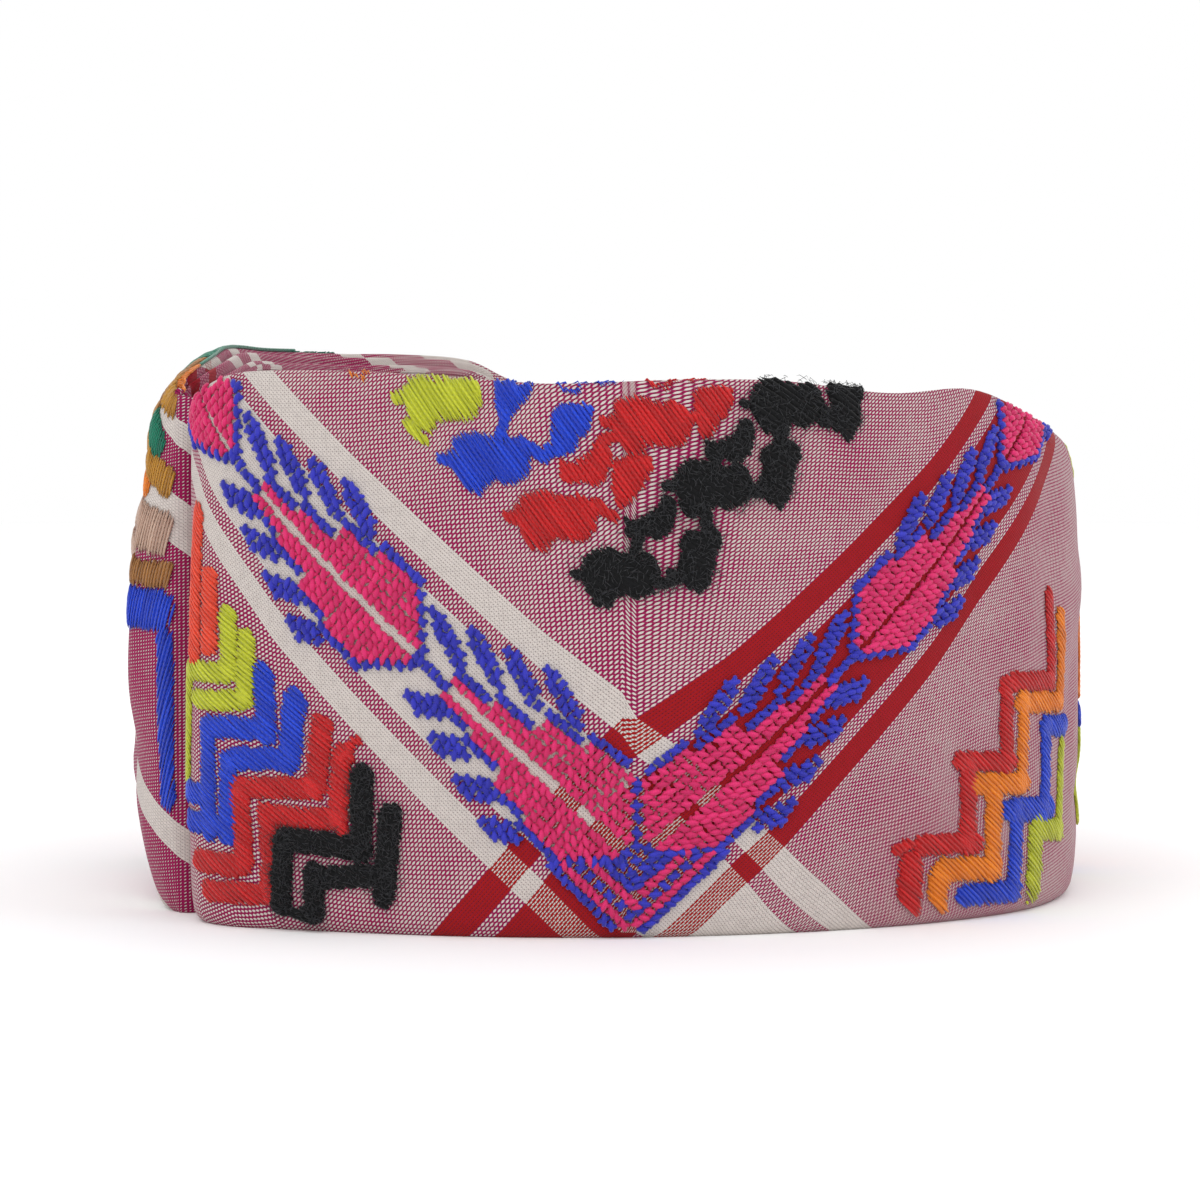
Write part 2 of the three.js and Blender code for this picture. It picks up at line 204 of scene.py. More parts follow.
# The corner of the woven border as it lies on the band: place along it, then the middles of the lower and of
# the upper wide stripe. The cloth is pulled askew there, and the stripes run straight on the flat cloth.
LEFT_RAILS = (
    (0, -10.5, 36.2), (31.8, 19.5, 64.8), (48.8, 36.0, 80.0), (63, 50.5, 93.4), (71.2, 61.5, 101.4),
    (80.2, 72.5, 111.0), (520, 468.3, 506.8),
)
RIGHT_RAILS = (
    (0, -6.9, 34.2), (23.4, 13.2, 53.2), (37.7, 27.6, 65.3), (54.8, 44.4, 80.2), (65.9, 56.0, 91.2),
    (84.4, 73.8, 108.4), (520, 465.8, 500.4),
)
# Places along each arm of the band, and the same places on the flat cloth
LEFT_STRETCH = ((0, 0), (31.8, 28.5), (65.3, 59.9), (520, 491.9))
RIGHT_STRETCH = ((0, 0), (34.1, 28.8), (67.5, 60.6), (520, 490.5))
# From the border's middle line up to the middle of a wide stripe, on the flat cloth
STRIPE_RISE = 21.2
# How far the crossing threads are pulled towards the corner below an arm's middle, and away from it above
LEFT_SKEW = 1.9
RIGHT_SKEW = 2.7
SKEW_START = 16.0
SKEW_LIMIT = 4.0
# Below the right arm's lower stripe they are pulled further still
LEFT_DRAG = 0.0
RIGHT_DRAG = 0.9
# Rounds in which the way back from the flat cloth closes on the place on the band
SETTLING_ROUNDS = 8
ARMS = (
    (-1, LEFT_RAILS, LEFT_STRETCH, LEFT_SKEW, LEFT_DRAG),
    (1, RIGHT_RAILS, RIGHT_STRETCH, RIGHT_SKEW, RIGHT_DRAG),
)


def skewed(far, share, skew, drag):
    """How far a thread lies askew: far is along an arm, share is from its middle to its stripe."""
    pulled = share - drag * np.maximum(-1 - share, 0)
    return skew * np.clip(far / SKEW_START, 0, 1) * SKEW_LIMIT * np.tanh(pulled / SKEW_LIMIT)


def flat_from_band(u, v):
    """Flat cloth coordinates of places on the band: across the border's corner, and up from its middle."""
    side = np.where(u < 0, -1.0, 1.0)
    far, rise = np.abs(u), np.zeros(np.shape(u))
    for sign, rails, stretch, skew, drag in ARMS:
        rail, pull = np.array(rails, float), np.array(stretch, float)
        low, high = (np.interp(np.abs(u), rail[:, 0], rail[:, column]) for column in (1, 2))
        flat = np.interp(np.abs(u), pull[:, 0], pull[:, 1])
        share = (v - (low + high) / 2) / ((high - low) / 2)
        across, here = flat - skewed(np.abs(u), share, skew, drag), flat + STRIPE_RISE * share
        far, rise = np.where(side == sign, across, far), np.where(side == sign, here, rise)
    return side * far, rise


def band_from_flat(across, rise):
    """The place on the band of flat cloth coordinates: the way back of flat_from_band."""
    side = np.where(across < 0, -1.0, 1.0)
    u, v = np.abs(across), np.zeros(np.shape(across))
    for sign, rails, stretch, skew, drag in ARMS:
        rail, pull = np.array(rails, float), np.array(stretch, float)
        flat = np.abs(across)
        for settling in range(SETTLING_ROUNDS):
            far = np.interp(flat, pull[:, 1], pull[:, 0])
            share = (rise - flat) / STRIPE_RISE
            flat = np.maximum(np.abs(across) + skewed(far, share, skew, drag), 0)
        low, high = (np.interp(far, rail[:, 0], rail[:, column]) for column in (1, 2))
        here = (low + high) / 2 + share * (high - low) / 2
        u, v = np.where(side == sign, far, u), np.where(side == sign, here, v)
    return side * u, v


# The end of the roll closes in a rounded fold, a little lower at its tip, and so does the hidden end
END_TURNS = (30, 60, 82)
END_DROOP = 0.02
closing = {0: -1.0, last_row * STATION_STEPS: 1.0}
rings, ring_flat = [], []
for index in range(len(stations)):
    ring = band_points[index]
    flat = np.stack(flat_from_band(np.full(len(section), along_band[index]), up_band[index]), axis=1)
    caps, cap_flat = [], []
    if index in closing:
        half = depths[index, 0] / 2
        middle_line = plan[index] + inward[index] * half
        for turn in np.radians(END_TURNS):
            squeezed = middle_line + (ring[:, :2] - middle_line) * math.cos(turn)
            moved = squeezed + course[index] * closing[index] * half * math.sin(turn)
            lifted = heights[index] * (1 - END_DROOP * (1 - math.cos(turn)))
            caps.append(np.concatenate((moved, lifted[:, None]), axis=1))
            round_end = np.full(len(section), along_band[index] + closing[index] * half * turn)
            cap_flat.append(np.stack(flat_from_band(round_end, up_band[index]), axis=1))
    rings.extend(caps[::-1] + [ring] if index == 0 else [ring] + caps)
    ring_flat.extend(cap_flat[::-1] + [flat] if index == 0 else [flat] + cap_flat)
tube = np.array(rings)
tube_flat = np.array(ring_flat)
MERGE_REACH = 0.02

shape = bmesh.new()
bmesh.ops.create_grid(shape, x_segments=tube.shape[1] - 1, y_segments=tube.shape[0] - 1, size=1)
mesh = bpy.data.meshes.new("outer_turn_cloth")
shape.to_mesh(mesh)
shape.free()
mesh.vertices.foreach_set("co", (tube * MM).ravel())
chart = mesh.uv_layers.new(name="flat_cloth")
corner_vertex = np.empty(len(mesh.loops), np.int32)
mesh.loops.foreach_get("vertex_index", corner_vertex)
chart.data.foreach_set("uv", tube_flat.reshape(-1, 2)[corner_vertex].ravel().astype(np.float32))
shape = bmesh.new()
shape.from_mesh(mesh)
bmesh.ops.remove_doubles(shape, verts=shape.verts, dist=MERGE_REACH * MM)
open_edges = [edge for edge in shape.edges if edge.is_boundary]
bmesh.ops.holes_fill(shape, edges=open_edges, sides=0)
bmesh.ops.recalc_face_normals(shape, faces=shape.faces)
for face in shape.faces:
    face.smooth = True
shape.to_mesh(mesh)
shape.free()
outer_cloth = bpy.data.objects.new("outer_turn_cloth", mesh)
bpy.context.collection.objects.link(outer_cloth)
wall = outer_cloth.modifiers.new("cloth thickness", "SOLIDIFY")
wall.thickness = CLOTH_THICKNESS * MM
wall.offset = -1


class Value:
    """A socket's number in a material, so that sums are written as Python expressions."""

    def __init__(self, finish, socket):
        self.finish = finish
        self.socket = socket

    def math(self, operation, *others):
        return self.finish.node("ShaderNodeMath", {"operation": operation}, [self, *others])

    def __add__(self, other):
        return self.math("ADD", other)

    def __sub__(self, other):
        return self.math("SUBTRACT", other)

    def __mul__(self, other):
        return self.math("MULTIPLY", other)

    def __truediv__(self, other):
        return self.math("DIVIDE", other)

    def __rsub__(self, other):
        return self.finish.node("ShaderNodeMath", {"operation": "SUBTRACT"}, [other, self])

    def __rtruediv__(self, other):
        return self.finish.node("ShaderNodeMath", {"operation": "DIVIDE"}, [other, self])

    def __lt__(self, other):
        return self.math("LESS_THAN", other)

    def __gt__(self, other):
        return self.math("GREATER_THAN", other)

    __radd__ = __add__
    __rmul__ = __mul__


class Finish:
    """A material whose nodes are added one by one."""

    def __init__(self, name, roughness, specular, sheen=0.0):
        self.material = bpy.data.materials.new(name)
        self.material.use_nodes = True
        self.tree = self.material.node_tree
        self.shader = self.tree.nodes["Principled BSDF"]
        self.shader.inputs["Roughness"].default_value = roughness
        self.shader.inputs["Specular IOR Level"].default_value = specular
        self.shader.inputs["Sheen Weight"].default_value = sheen
        self.shader.inputs["Sheen Roughness"].default_value = 0.4

    def node(self, kind, settings, inputs, output=0):
        """One node: its settings first, then the values or links of its sockets, by place or by name."""
        made = self.tree.nodes.new(kind)
        for name, setting in settings.items():
            setattr(made, name, setting)
        named = inputs.items() if isinstance(inputs, dict) else enumerate(inputs)
        for socket, content in named:
            if isinstance(content, Value):
                self.tree.links.new(content.socket, made.inputs[socket])
            else:
                made.inputs[socket].default_value = content
        return Value(self, made.outputs[output])

    def mix(self, share, first, second):
        """A colour between two others."""
        settings = {"data_type": "RGBA", "clamp_factor": True}
        return self.node("ShaderNodeMix", settings, {0: share, 6: first, 7: second}, output=2)

    def smooth_step(self, value, low, high):
        """0 below low, 1 above high, soft between them."""
        settings = {"interpolation_type": "SMOOTHSTEP"}
        return self.node("ShaderNodeMapRange", settings, {"Value": value, "From Min": low, "From Max": high})

    def noise(self, vector, scale, detail):
        """Soft clouds from 0 to 1, scale of them to the metre."""
        return self.node("ShaderNodeTexNoise", {}, {"Vector": vector, "Scale": scale, "Detail": detail})

    def feed(self, socket, value):
        """What varies over the piece, led into a socket of the shader."""
        self.tree.links.new(value.socket, self.shader.inputs[socket])

    def raise_by(self, height, distance, strength):
        """Relief as a bump, whose full height is a distance in millimetres."""
        sockets = {"Height": height, "Distance": distance * MM, "Strength": strength}
        self.feed("Normal", self.node("ShaderNodeBump", {}, sockets))


def shade(red, green, blue):
    """A colour given as 0 to 255 on a screen, as the shader counts it."""
    def linear(level):
        share = level / 255
        return share / 12.92 if share <= 0.04045 else ((share + 0.055) / 1.055) ** 2.4
    return (linear(red), linear(green), linear(blue), 1.0)


# The weave: plain, two threads to the millimetre each way, on the bias to the band. Threads along the left
# arm of the border are crimson and white, threads along its right arm white and dark red.
THREAD_PITCH = 0.52
STITCH = 1.5
CRIMSON = shade(146, 16, 77)
WHITE = shade(205, 196, 190)
STRIPE_RED = shade(150, 14, 16)
# GAP is the dark colour of painted shade where threads cross and in the holes between them; uneven yarn
# darkens towards it too, at random
GAP = shade(48, 10, 22)
# The threads along the right arm float over more than one other, in long narrow stretches. Uneven yarn and
# red thread make them longer or shorter. They are shorter on the roll, so that more crimson shows as painted
# shade, the roll lying in shadow, and on the inner cloth's other face.
FLOAT_REACH = 0.85
FLOAT_PINCH = 4.4
CLOUD_FLOATS = 1.3
SLUB_FLOATS = 1.2
RED_FLOATS = 0.8
ALL_RED_FLOATS = 1.2
ROLL_SHADE_AND_WRONG_SIDE_FLOATS = 0.9
# Painted shade at the edges of the floats and in the holes between threads, random darkening of uneven yarn,
# and the bump's height
CROSSING_SHADE = 0.26
HOLE_SHADE = 0.8
SLUB_DARKNESS = 0.3
THREAD_RELIEF = 0.14
# Where a band of the other colour starts and ends, in stitches from the border's middle
BORDER_BANDS = ((0.0, 6.4), (8.4, 11.6))
# Two more borders of the square, which come round in the back and the roll: from and to on the flat cloth
ROLL_STRIPES = ((262.0, 271.0), (283.0, 288.0), (330.0, 338.0), (346.0, 350.0))
RED_STRIPES = ((303.0, 308.0), (314.0, 321.0))
# From here on to the roll the right arm's threads float shorter and more crimson shows, as painted shade: the
# roll lies in shadow
ROLL_SHADE_FROM = (330.0, 350.0)


def weave_into(finish, bias_a, bias_b, white_a, red_b, roll_shade_and_wrong_side):
    """Base colour and bump of the plain weave. white_a and red_b are 1 on threads of the border's colours.

    The last argument makes the crimson floats the longer ones, in full where it is 1: on the roll as painted
    shade, the roll lying in shadow, and in part on the inner cloth, as its other face.
    """
    place = finish.node("ShaderNodeTexCoord", {}, [], output=3)
    cloud = finish.noise(place, 70.0, 3.0)
    slub = finish.noise(place, 800.0, 2.0)
    a, b = bias_a / THREAD_PITCH, bias_b / THREAD_PITCH
    wave = (a * math.pi).math("SINE") * (1 - (b.math("FLOOR") * 0.5).math("FRACT") * 4)
    side_a = (a.math("FRACT") - 0.5) * 2
    side_b = (b.math("FRACT") - 0.5) * 2
    across_a, across_b = side_a * side_a, side_b * side_b
    all_red = red_b * (1 - white_a)
    rise = wave + FLOAT_REACH - across_b * FLOAT_PINCH + (cloud - 0.5) * CLOUD_FLOATS
    rise = rise + (slub - 0.5) * SLUB_FLOATS + red_b * RED_FLOATS
    rise = rise + all_red * ALL_RED_FLOATS - roll_shade_and_wrong_side * ROLL_SHADE_AND_WRONG_SIDE_FLOATS
    b_on_top = finish.smooth_step(rise, -0.3, 0.3)
    crossing_thread = finish.mix(white_a, finish.mix(red_b * 0.6, CRIMSON, STRIPE_RED), WHITE)
    woven = finish.mix(b_on_top, crossing_thread, finish.mix(red_b, WHITE, STRIPE_RED))
    # Painted shade: darker where the threads cross at the edges of each float, and in the holes between
    # threads
    crossing = finish.smooth_step(rise.math("ABSOLUTE"), 0.0, 0.9)
    crossing_shaded = finish.mix(CROSSING_SHADE - crossing * CROSSING_SHADE, woven, GAP)
    hole = finish.smooth_step(across_a * across_b, 0.2, 0.6)
    hole_shaded = finish.mix(hole * HOLE_SHADE, crossing_shaded, GAP)
    finish.feed("Base Color", finish.mix((slub - 0.4) * SLUB_DARKNESS, hole_shaded, GAP))
    floats = b_on_top * (0.7 - across_b) + (1 - b_on_top) * (0.2 - across_a * 0.4)
    finish.raise_by(floats, THREAD_RELIEF, 0.6)


def thread_axes(finish):
    """Places on the flat cloth: across it, and over the threads of the left arm and of the right arm."""
    spots = finish.node("ShaderNodeUVMap", {"uv_map": "flat_cloth"}, [])
    across = finish.node("ShaderNodeSeparateXYZ", {}, [spots])
    rise = Value(finish, across.socket.node.outputs[1])
    return across, (across + rise) * math.sqrt(0.5), (across - rise) * math.sqrt(0.5)


def thread_middle(bias):
    """The middle of the thread that a place lies on, so that a stripe's edge follows whole threads."""
    return ((bias / THREAD_PITCH).math("FLOOR") + 0.5) * THREAD_PITCH


def in_bands(distance, bands):
    """1 where a distance lies in one of the bands, and 0 elsewhere."""
    inside = None
    for low, high in bands:
        here = (distance > low) * (distance < high)
        inside = here if inside is None else inside.math("MAXIMUM", here)
    return inside


woven_cloth = Finish("woven_cloth", 0.86, sheen=0.12, specular=0.2)
axis_u, bias_a, bias_b = thread_axes(woven_cloth)
thread_a, thread_b = thread_middle(bias_a), thread_middle(bias_b)
white_a = in_bands(thread_a.math("ABSOLUTE") / STITCH + 0.001, BORDER_BANDS)
red_b = in_bands(thread_b.math("ABSOLUTE") / STITCH + 0.001, BORDER_BANDS)
white_a = white_a.math("MAXIMUM", in_bands(thread_a, ROLL_STRIPES))
red_b = red_b.math("MAXIMUM", in_bands(thread_b, RED_STRIPES))
# Painted shade on the roll, which lies in shadow: more crimson shows there
roll_shade = woven_cloth.smooth_step(axis_u, *ROLL_SHADE_FROM)
weave_into(woven_cloth, bias_a, bias_b, white_a, red_b, roll_shade)
outer_cloth.data.materials.append(woven_cloth.material)

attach(outer_cloth, "root")
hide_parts("front_stretch", "back_stretch")


# The inner turn and the loose end. They are the same cloth, plain ground of crimson and white threads on the
# bias with a few stripes, wound first and lying inside the outer turn. Each is one of the CAD's stretches.
INNER_STRETCHES = (
    ("inner_back_cloth", "inner_back", (0.09, 0.24)),
    ("inner_front_cloth", "inner_front", (0.09, 0.22)),
    ("loose_end_cloth", "loose_end", (0.09, 0.065)),
)
INNER_RADIUS = 76.0
INNER_WHITE = ((-92.0, -84.0), (-80.0, -76.0), (60.0, 66.0))
INNER_RED = ((-40.0, -34.0), (96.0, 104.0))
INNER_OTHER_FACE = 0.3
# The CAD's loose triangles are merged at this reach, and joined to four-sided faces up to these angles
COPY_MERGE_REACH = 0.01
JOINED_BEND = 40
JOINED_SHAPE = 60


def smooth_copy(name, node):
    """A copy of a CAD stretch as one smooth skin, with flat cloth coordinates round the ring and up."""
    shape = bmesh.new()
    shape.from_mesh(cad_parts[node].data)
    bmesh.ops.remove_doubles(shape, verts=shape.verts, dist=COPY_MERGE_REACH * MM)
    bend, askew = math.radians(JOINED_BEND), math.radians(JOINED_SHAPE)
    bmesh.ops.join_triangles(
        shape, faces=shape.faces, angle_face_threshold=bend, angle_shape_threshold=askew
    )
    for face in shape.faces:
        face.smooth = True
    chart = shape.loops.layers.uv.new("flat_cloth")
    for face in shape.faces:
        turns = []
        for loop in face.loops:
            x, y, z = loop.vert.co / MM
            turns.append((math.atan2(y, x), math.hypot(x, y), z))
        first = turns[0][0]
        for loop, (turn, reach, z) in zip(face.loops, turns):
            near = first + (turn - first + math.pi) % (2 * math.pi) - math.pi
            loop[chart].uv = (near * INNER_RADIUS, z + (reach - INNER_RADIUS))
    mesh = bpy.data.meshes.new(name)
    shape.to_mesh(mesh)
    shape.free()
    piece = bpy.data.objects.new(name, mesh)
    bpy.context.collection.objects.link(piece)
    return piece


plain_weave = Finish("plain_weave", 0.88, sheen=0.12, specular=0.2)
axis_u, bias_a, bias_b = thread_axes(plain_weave)
white_a = in_bands(thread_middle(bias_a), INNER_WHITE)
red_b = in_bands(thread_middle(bias_b), INNER_RED)
weave_into(plain_weave, bias_a, bias_b, white_a, red_b, INNER_OTHER_FACE)
for name, node, flat in INNER_STRETCHES:
    piece = smooth_copy(name, node)
    piece.data.materials.append(plain_weave.material)
    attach(piece, "root")
    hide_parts(node)


# Cross-stitch in fat cotton floss, rose and blue, counted over three threads of the ground: rows of petals on
# each arm of the border, with a bare line down the middle, a blue outline and blue leaves, and chevrons under
# the corner. Each stitch is two crossed legs, laid on the cloth.
def thread_template(sides, rings):
    """A thread of length 2 along Z with round ends, in triangles, centred on the origin."""
    shape = bmesh.new()
    bmesh.ops.create_uvsphere(shape, u_segments=sides, v_segments=rings, radius=1.0)
    bmesh.ops.triangulate(shape, faces=shape.faces)
    points = np.array([vert.co for vert in shape.verts])
    faces = np.array([[vert.index for vert in face.verts] for face in shape.faces])
    shape.free()
    return points, faces


# The heights of all the stations in one rising row, so that one search finds a place on any of them
STATION_APART = 10000.0
searched_points = (TOP_POINT + 3) * SECTION_STEPS
searchable = (up_band + STATION_APART * np.arange(len(stations))[:, None])[:, :searched_points]


def on_band(u, v):
    """Points of the cloth's face, in millimetres, and the outward normals there."""
    station = np.interp(u, along_band, np.arange(len(along_band)))
    first = np.clip(np.floor(station).astype(int), 0, len(along_band) - 2)
    share = (station - first)[:, None]
    points, normals = 0, 0
    width = searchable.shape[1]
    for index, weight in ((first, 1 - share), (first + 1, share)):
        found = np.searchsorted(searchable.ravel(), v + STATION_APART * index) - index * width
        found = np.clip(found, 1, width - 1)
        low, high = up_band[index, found - 1], up_band[index, found]
        part = np.clip((v - low) / (high - low), 0, 1)[:, None]
        for_points = band_points[index, found - 1] * (1 - part) + band_points[index, found] * part
        for_normals = band_normals[index, found - 1] * (1 - part) + band_normals[index, found] * part
        points = points + weight * for_points
        normals = normals + weight * for_normals
    return points, normals / np.linalg.norm(normals, axis=1, keepdims=True)


# A thread keeps its width nearly to its ends, and its plies turn once round in a twist's length
BLUNT_ENDS = 3
TWIST_LENGTH = 0.9


def lay_threads(name, starts, ends, width, height, lift, template, finish, arch):
    """Threads laid on the band from starts to ends, given along and up it. arch lifts the middle of each."""
    points, faces = template
    starts, ends = np.asarray(starts, float), np.asarray(ends, float)
    count, size = len(starts), len(points)
    sizes = (np.asarray(value, float) for value in (width, height, lift, arch))
    width, height, lift, arch = (np.broadcast_to(value, (count,)) for value in sizes)
    share = (points[:, 2] + 1) / 2
    spread = np.hypot(points[:, 0], points[:, 1])
    round_off = np.maximum(1 - np.abs(points[:, 2]) ** BLUNT_ENDS, 0) ** 0.5 / np.maximum(spread, 1e-6)
    side = points[:, 0] * np.where(spread > 1e-3, round_off, 0)
    rise = points[:, 1] * np.where(spread > 1e-3, round_off, 0)
    places = starts[:, None] + (ends - starts)[:, None] * share[None, :, None]
    centres, normals = on_band(places[..., 0].ravel(), places[..., 1].ravel())
    centres, normals = centres.reshape(count, size, 3), normals.reshape(count, size, 3)
    first, last = on_band(starts[:, 0], starts[:, 1])[0], on_band(ends[:, 0], ends[:, 1])[0]
    course = last - first
    course /= np.linalg.norm(course, axis=1, keepdims=True)
    across = np.cross(normals, course[:, None])
    across /= np.linalg.norm(across, axis=2, keepdims=True)
    bow = 1 - points[:, 2] ** 2
    centres = centres + across * (side[None] * width[:, None] / 2)[..., None]
    raised = rise[None] * height[:, None] / 2 + lift[:, None] + arch[:, None] * bow[None]
    centres = centres + normals * raised[..., None]
    triangles = (faces[None] + size * np.arange(count)[:, None, None]).reshape(-1, 3)
    mesh = bpy.data.meshes.new(name)
    mesh.vertices.add(count * size)
    mesh.vertices.foreach_set("co", (centres * MM).ravel())
    mesh.loops.add(triangles.size)
    mesh.loops.foreach_set("vertex_index", triangles.ravel())
    mesh.polygons.add(len(triangles))
    mesh.polygons.foreach_set("loop_start", np.arange(0, triangles.size, 3))
    mesh.update(calc_edges=True)
    mesh.polygons.foreach_set("use_smooth", np.ones(len(triangles), bool))
    strand = mesh.attributes.new("strand", "FLOAT", "POINT")
    tone = np.random.default_rng(len(name) + count).random(count)
    strand.data.foreach_set("value", np.repeat(tone, size).astype(np.float32))
    twist = mesh.attributes.new("twist", "FLOAT", "POINT")
    reach = np.linalg.norm(last - first, axis=1)
    turned = np.arctan2(points[:, 0], -points[:, 1]) / (2 * math.pi)
    winding = reach[:, None] * share[None] / TWIST_LENGTH + turned[None]
    twist.data.foreach_set("value", winding.ravel().astype(np.float32))
    mesh.validate()
    mesh.materials.append(finish.material)
    piece = bpy.data.objects.new(name, mesh)
    bpy.context.collection.objects.link(piece)
    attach(piece, "root")
    return piece


def floss(name, colour, deep, roughness=0.55, sheen=0.25, strands=3.0):
    """Embroidery thread: each stitch a little lighter or darker, twisted from a few strands, with painted
    shade in the grooves between them.
    """
    finish = Finish(name, roughness, sheen=sheen, specular=0.35)
    tone = finish.node("ShaderNodeAttribute", {"attribute_name": "strand"}, [], output=2)
    twist = finish.node("ShaderNodeAttribute", {"attribute_name": "twist"}, [], output=2)
    ply = (twist * (2 * math.pi * strands)).math("SINE") * 0.5 + 0.5
    place = finish.node("ShaderNodeTexCoord", {}, [], output=3)
    fuzz = finish.noise(place, 2600.0, 2.0)
    body = finish.mix(tone * 0.55 + fuzz * 0.3, colour, deep)
    # Painted shade: darker in the grooves between the twisted strands
    finish.feed("Base Color", finish.mix((1 - ply) * 0.35, body, deep))
    finish.raise_by(ply * 0.7 + fuzz * 0.5, 0.1, 0.6)
    return finish


ROSE = floss("rose_floss", shade(238, 42, 118), shade(176, 14, 78))
BLUE = floss("blue_floss", shade(52, 56, 204), shade(24, 24, 132))
# Petals follow each other up an arm, each on a blue base line that is six rows wide to either side of the
# middle. All their lengths are in stitches.
PETALS = 4
REPEAT = 30
PETAL_BASE = 1.5
PETAL_LENGTH = 25
BASE_ROWS = 6
# A petal's outline widens in steps from its tip, five stitches long and the last one longer: the rows of rose
# inside the blue chain
ROWS_IN_STEP = (1, 2, 4, 5)
STEP_LENGTH = 5
CHAIN_OUT = 0.9
# Rows are sewn a little further apart on the upper side of an arm than on the lower
ROW_SPREAD = {1: 1.1, -1: 0.95}
# Leaves, pointed and leaning outwards: the side, the first one's place from the petal's tip and off its
# middle line, the step to the next along and out, half its length and its width in stitches, and its lean
LEAVES_A_SIDE = 4
LEAVES = (
    (1, 3.7, 4.0, -4.4, 1.2, 3, 2, 0.36),
    (-1, 1.2, 3.3, -4.85, 1.4, 2, 3, 0.24),
)
# Chevrons: the row below the border's middle line, the floss, and the stitches from one to the next
CHEVRONS = (
    (-6.4, "blue", 1), (-5.4, "rose", 1), (-4.3, "blue", 1.5), (-3.2, "rose", 1), (-2.2, "blue", 1),
    (-1.2, "blue", 1),
)
# The blue line up the middle of the corner, from and to, in millimetres
SPINE = (0.4, 13.4)

# Stitches as steps along an arm of the border and steps off its middle line
counted = {"rose": [], "blue": [], "leaf": []}
last_step = len(ROWS_IN_STEP) - 1
for petal in range(PETALS):
    base = PETAL_BASE + REPEAT * petal
    tip = base + PETAL_LENGTH
    for half in (-1, 1):
        for step_index, rows in enumerate(ROWS_IN_STEP):
            row_end = tip - STEP_LENGTH * step_index
            row_start = base if step_index == last_step else row_end - STEP_LENGTH
            for step in np.arange(row_start + 1, row_end + 0.1):
                for row in range(1, rows + 1):
                    if step >= base + row:
                        counted["rose"].append((step, half * row * ROW_SPREAD[half]))
                if step >= base + rows:
                    counted["blue"].append((step + 0.5, half * (rows + CHAIN_OUT) * ROW_SPREAD[half]))
        for row in range(1, BASE_ROWS + 1):
            counted["blue"].append((base + row - 1, half * row * ROW_SPREAD[half]))
    for half, start, out, ahead, outwards, reach, broad, lean in LEAVES:
        for leaf in range(LEAVES_A_SIDE):
            for step in range(-reach, reach + 1):
                stitches = min(broad, reach - abs(step) + 1)
                for row in np.arange(stitches) - (stitches - 1) / 2:
                    off = out + outwards * leaf + row + lean * step
                    counted["leaf"].append((tip + start + ahead * leaf + step, half * off))
    counted["blue"].append((base, 0))
    for step in np.arange(tip + 0.5, base + REPEAT - 0.4):
        counted["blue"].append((step, 0))
for row, colour, every in CHEVRONS:
    for step in np.arange(row + 1, PETAL_BASE - row - 0.8, every):
        counted[colour].append((step, row))

LEG = 2.4
LEG_WIDTH = 1.04
LEG_HEIGHT = 0.95
# The leg below and the leg above: how far each is lifted off the cloth, and how far its middle is arched
LEG_LIFTS = (0.1, 0.26)
LEG_ARCHES = (0.1, 0.34)
# Hand sewing: how far a stitch strays, how much longer or shorter a leg is, and how far it leans
STITCH_STRAY = 0.17
LEG_SHARES = (0.88, 1.1)
LEG_LEAN = 0.42
# Nothing is sewn where the two arms meet, nearer to the floor than the hem, or in the hidden end
CORNER_GAP = 0.9
HEM = 1.2
HIDDEN_END = 8
stitch_diagonal = STITCH * math.sqrt(2)
floss_template = thread_template(6, 5)
draw = np.random.default_rng(11)
for colour, finish in (("rose", ROSE), ("blue", BLUE), ("leaf", BLUE)):
    cells = np.array(counted[colour])
    middles = []
    across = STITCH * (cells[:, 0] - cells[:, 1]) / math.sqrt(2)
    rise = STITCH * (cells[:, 0] + cells[:, 1]) / math.sqrt(2)
    for side in (-1, 1):
        kept = across > CORNER_GAP
        middles.append(np.stack((side * across[kept], rise[kept]), axis=1))
    chevron_points = [row * stitch_diagonal for row, sewn_in, apart in CHEVRONS if sewn_in == colour]
    spine = np.concatenate((chevron_points, np.arange(*SPINE, stitch_diagonal) if colour == "blue" else []))
    middles.append(np.stack((np.zeros(len(spine)), spine), axis=1))
    middles = np.concatenate(middles)
    middles += draw.uniform(-STITCH_STRAY, STITCH_STRAY, middles.shape)
    u, v = band_from_flat(middles[:, 0], middles[:, 1])
    fold = np.interp(u, along_band, up_band[:, (TOP_POINT + 1) * SECTION_STEPS])
    kept = (u > along_band[0] + HIDDEN_END) & (v > HEM) & (v < fold)
    middles = np.stack((u[kept], v[kept]), axis=1)
    count = len(middles)
    reach = LEG / 2 * draw.uniform(*LEG_SHARES, (2, count))
    lean = draw.uniform(-LEG_LEAN, LEG_LEAN, (2, count))
    level = np.stack((reach[0] * np.cos(lean[0]), reach[0] * np.sin(lean[0])), axis=1)
    upright = np.stack((reach[1] * np.sin(lean[1]), reach[1] * np.cos(lean[1])), axis=1)
    # The needle comes down last on the level legs of the right arm and on the upright legs of the left
    level_last = (middles[:, 0] > -2)[:, None]
    last, first = np.where(level_last, level, upright), np.where(level_last, upright, level)
    lay_threads(
        f"{colour}_cross_stitch",
        np.concatenate((middles - first, middles - last)),
        np.concatenate((middles + first, middles + last)),
        LEG_WIDTH,
        LEG_HEIGHT,
        np.repeat(LEG_LIFTS, count),
        floss_template,
        finish,
        arch=np.repeat(LEG_ARCHES, count),
    )


